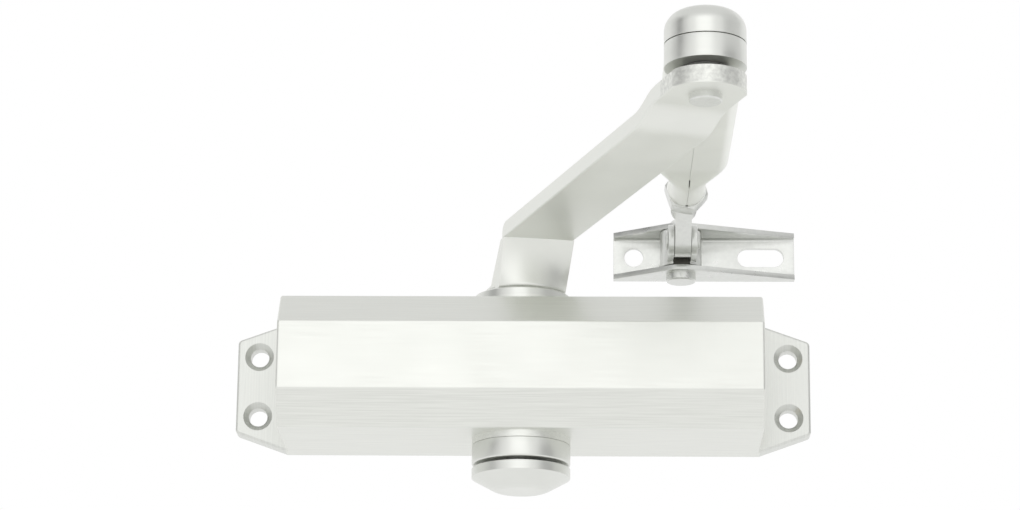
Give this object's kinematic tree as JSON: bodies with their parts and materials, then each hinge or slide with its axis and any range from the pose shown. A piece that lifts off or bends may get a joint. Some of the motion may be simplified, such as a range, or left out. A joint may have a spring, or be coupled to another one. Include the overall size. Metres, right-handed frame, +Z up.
{
  "type": "door closer",
  "caption": "Surface-mounted hydraulic door closer: chamfered body with screw ears, spindle, double-lever arm with adjustable forearm and frame bracket.",
  "frame": {"origin": "centre of the four screw holes on the door-side face of the body", "axes": "+X along the body towards the hinge side, +Y into the door, +Z up along the spindle"},
  "size_m": [0.1786, 0.1718, 0.1031],
  "materials": {
    "cast_silver": "satin silver with milled lines",
    "turned_silver": "turned satin",
    "arm_silver": "satin silver paint",
    "zinc_steel": "bright zinc",
    "hard_steel": "ground, oiled",
    "bearing_bronze": "machined",
    "valve_brass": "turned",
    "seal_rubber": "moulded",
    "dark_bush": "moulded"
  },
  "bodies": {
    "housing": {"body_casting": "cast_silver", "left_end_plug": "turned_silver", "right_end_plug": "turned_silver", "left_plug_seal": "seal_rubber", "right_plug_seal": "seal_rubber", "valve_seals": "seal_rubber", "upper_collar": "turned_silver", "lower_bearing_ring": "turned_silver", "upper_bearing": "bearing_bronze", "lower_bearing": "bearing_bronze", "upper_shaft_seal": "seal_rubber", "lower_shaft_seal": "seal_rubber", "spring_seat": "hard_steel", "closing_spring": "hard_steel"},
    "closing_valve": {"closing_speed_valve": "valve_brass"},
    "latching_valve": {"latching_speed_valve": "valve_brass"},
    "spindle": {"pinion_spindle": "hard_steel", "spindle_cap": "turned_silver", "main_arm": "arm_silver", "arm_washer": "zinc_steel", "arm_screw": "zinc_steel", "elbow_pin": "zinc_steel", "elbow_bush": "dark_bush", "elbow_circlip": "zinc_steel"},
    "piston": {"rack_piston": "hard_steel", "piston_seal": "seal_rubber", "check_valve_seat": "hard_steel"},
    "ball": {"check_ball": "hard_steel"},
    "forearm": {"elbow_hub": "turned_silver", "elbow_dome_cap": "turned_silver", "forearm_tube": "arm_silver"},
    "nut": {"lock_nut": "zinc_steel"},
    "rod": {"adjusting_rod": "zinc_steel"},
    "knuckle": {"swivel_knuckle": "zinc_steel", "tilt_pin": "zinc_steel"},
    "bracket": {"frame_bracket": "zinc_steel", "bracket_rivet": "zinc_steel"}
  },
  "joints": [
    {"name": "spindle_swing", "type": "hinge", "parent": "housing", "child": "spindle", "pos_m": [0, -0.0225, 0], "axis": [0, 0, 1], "range_deg": [0, 120], "stiffness_Nm_per_rad": 8, "springref_deg": -28.65},
    {"name": "piston_slide", "type": "slide", "parent": "housing", "child": "piston", "axis": [1, 0, 0], "range_m": [-0.01681, 0], "deforming": ["closing_spring"]},
    {"name": "check_ball_lift", "type": "slide", "parent": "piston", "child": "ball", "axis": [1, 0, 0], "range_m": [0, 0.0008]},
    {"name": "elbow_pivot", "type": "hinge", "parent": "spindle", "child": "forearm", "pos_m": [0.05193, -0.16066, 0.05], "axis": [0, 0, 1], "range_deg": [-140, 0]},
    {"name": "lock_nut_spin", "type": "hinge", "parent": "forearm", "child": "nut", "pos_m": [0.04997, -0.0497, 0.05116], "axis": [-0.0177, 0.9997, -0.0188], "continuous": true},
    {"name": "rod_adjust", "type": "slide", "parent": "forearm", "child": "rod", "axis": [-0.0177, 0.9997, -0.0188], "range_m": [-0.004, 0.006]},
    {"name": "knuckle_tilt", "type": "hinge", "parent": "rod", "child": "knuckle", "pos_m": [0.04947, -0.0214, 0.0433], "axis": [0.9998, 0.0177, 0], "range_deg": [-15, 15]},
    {"name": "bracket_swivel", "type": "hinge", "parent": "knuckle", "child": "bracket", "pos_m": [0.04925, -0.00901, 0.0435], "axis": [0, 0, 1], "range_deg": [-60, 60]},
    {"name": "closing_valve_turn", "type": "hinge", "parent": "housing", "child": "closing_valve", "pos_m": [0.07225, -0.0099, -0.01501], "axis": [1, 0, 0], "range_deg": [-180, 180]},
    {"name": "latching_valve_turn", "type": "hinge", "parent": "housing", "child": "latching_valve", "pos_m": [0.07225, -0.0099, 0.01501], "axis": [1, 0, 0], "range_deg": [-180, 180]}
  ],
  "couplings": [
    {"joint": "piston_slide", "follows": "spindle_swing", "m_per_rad": -0.008}
  ]
}
